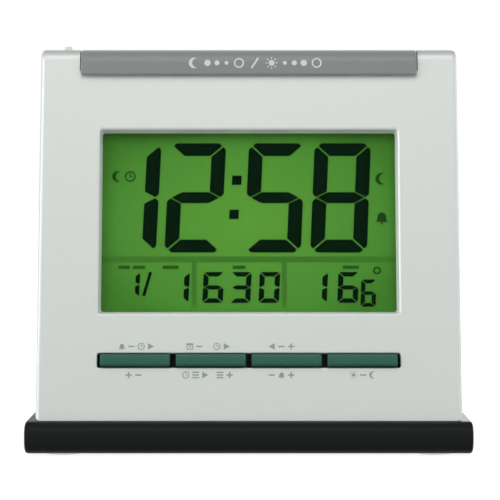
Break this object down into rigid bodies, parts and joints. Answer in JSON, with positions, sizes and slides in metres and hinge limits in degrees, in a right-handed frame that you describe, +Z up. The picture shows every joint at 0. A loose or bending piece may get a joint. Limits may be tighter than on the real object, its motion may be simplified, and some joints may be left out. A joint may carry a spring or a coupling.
{
  "type": "digital alarm clock",
  "caption": "Leaning digital desk alarm clock on a low plinth, with a lit display window, set keys, a snooze bar, an alarm slide switch and a rear battery door.",
  "frame": {"origin": "on the table under the middle of the plinth, level with the undersides of the four feet", "axes": "+X to the right seen from the front, +Y backwards, +Z up; the display leans back facing -Y"},
  "size_m": [0.115, 0.05, 0.1063],
  "materials": {
    "case_silver": "satin silver plastic with a faint green cast",
    "plinth_black": "semi-gloss black plastic",
    "foot_rubber": "matt black rubber",
    "bar_grey": "satin mid-grey plastic",
    "key_green": "glossy dark green plastic",
    "lens_clear": "clear polished acrylic",
    "display_green": "display glass lit green from behind",
    "frame_white": "white moulded plastic",
    "guide_clear": "clear light guide with a fine dot texture",
    "film_white": "matt white reflector film",
    "silicone_grey": "translucent grey silicone rubber",
    "board_green": "green solder mask on glass-fibre board",
    "resin_black": "black potting resin",
    "screw_steel": "zinc-plated steel",
    "contact_nickel": "nickel-plated spring steel",
    "cell_wrap": "plain dark printed-film wrap on a metal can",
    "sleeve_red": "red insulation",
    "sleeve_black": "black insulation",
    "ribbon_grey": "grey flat cable",
    "disc_brass": "brass sheet with a pale ceramic face"
  },
  "bodies": {
    "root": {"plinth": "plinth_black", "foot_front_left": "foot_rubber", "foot_front_right": "foot_rubber", "foot_rear_left": "foot_rubber", "foot_rear_right": "foot_rubber", "plinth_screw_1": "screw_steel", "plinth_screw_2": "screw_steel", "plinth_screw_3": "screw_steel", "plinth_screw_4": "screw_steel", "front_case": "case_silver", "rear_case": "case_silver", "case_screw_1": "screw_steel", "case_screw_2": "screw_steel", "case_screw_3": "screw_steel", "case_screw_4": "screw_steel", "window_lens": "lens_clear", "lcd_panel": "display_green", "lcd_frame": "frame_white", "backlight_guide": "guide_clear", "reflector_sheet": "film_white", "backlight_led_left": "frame_white", "backlight_led_right": "frame_white", "zebra_connector": "silicone_grey", "main_board": "board_green", "chip_blob": "resin_black", "crystal": "screw_steel", "capacitor": "sleeve_black", "thermistor": "resin_black", "board_screw_1": "screw_steel", "board_screw_2": "screw_steel", "board_screw_3": "screw_steel", "board_screw_4": "screw_steel", "key_pad": "silicone_grey", "switch_board": "board_green", "snooze_dome": "silicone_grey", "switch_board_screw_1": "screw_steel", "switch_board_screw_2": "screw_steel", "alarm_switch_body": "sleeve_black", "ribbon_cable": "ribbon_grey", "battery_cell_lower": "cell_wrap", "battery_cell_upper": "cell_wrap", "contact_link": "contact_nickel", "contact_positive": "contact_nickel", "contact_negative": "contact_nickel", "battery_lead_red": "sleeve_red", "battery_lead_black": "sleeve_black", "sounder_disc": "disc_brass", "sounder_lead_red": "sleeve_red", "sounder_lead_black": "sleeve_black"},
    "key_a": {"key_1": "key_green"},
    "key_b": {"key_2": "key_green"},
    "key_c": {"key_3": "key_green"},
    "key_d": {"key_4": "key_green"},
    "snooze": {"snooze_bar": "bar_grey"},
    "alarm_slider": {"alarm_switch_knob": "case_silver"},
    "door": {"battery_door": "case_silver"}
  },
  "joints": [
    {"name": "key_1_press", "type": "slide", "parent": "root", "child": "key_a", "axis": [0, 0.9781, -0.2079], "range_m": [0, 0.0008], "stiffness_N_per_m": 400, "springref_m": -0.0005, "deforming": ["key_pad"]},
    {"name": "key_2_press", "type": "slide", "parent": "root", "child": "key_b", "axis": [0, 0.9781, -0.2079], "range_m": [0, 0.0008], "stiffness_N_per_m": 400, "springref_m": -0.0005, "deforming": ["key_pad"]},
    {"name": "key_3_press", "type": "slide", "parent": "root", "child": "key_c", "axis": [0, 0.9781, -0.2079], "range_m": [0, 0.0008], "stiffness_N_per_m": 400, "springref_m": -0.0005, "deforming": ["key_pad"]},
    {"name": "key_4_press", "type": "slide", "parent": "root", "child": "key_d", "axis": [0, 0.9781, -0.2079], "range_m": [0, 0.0008], "stiffness_N_per_m": 400, "springref_m": -0.0005, "deforming": ["key_pad"]},
    {"name": "snooze_press", "type": "slide", "parent": "root", "child": "snooze", "axis": [0, 0, -1], "range_m": [0, 0.0008], "stiffness_N_per_m": 500, "springref_m": -0.001, "deforming": ["snooze_dome"]},
    {"name": "alarm_slide", "type": "slide", "parent": "root", "child": "alarm_slider", "axis": [0, 1, 0], "range_m": [0, 0.003]},
    {"name": "battery_door_hinge", "type": "hinge", "parent": "root", "child": "door", "pos_m": [0, 0.023, 0.0133], "axis": [-1, 0, 0], "range_deg": [0, 60]}
  ]
}
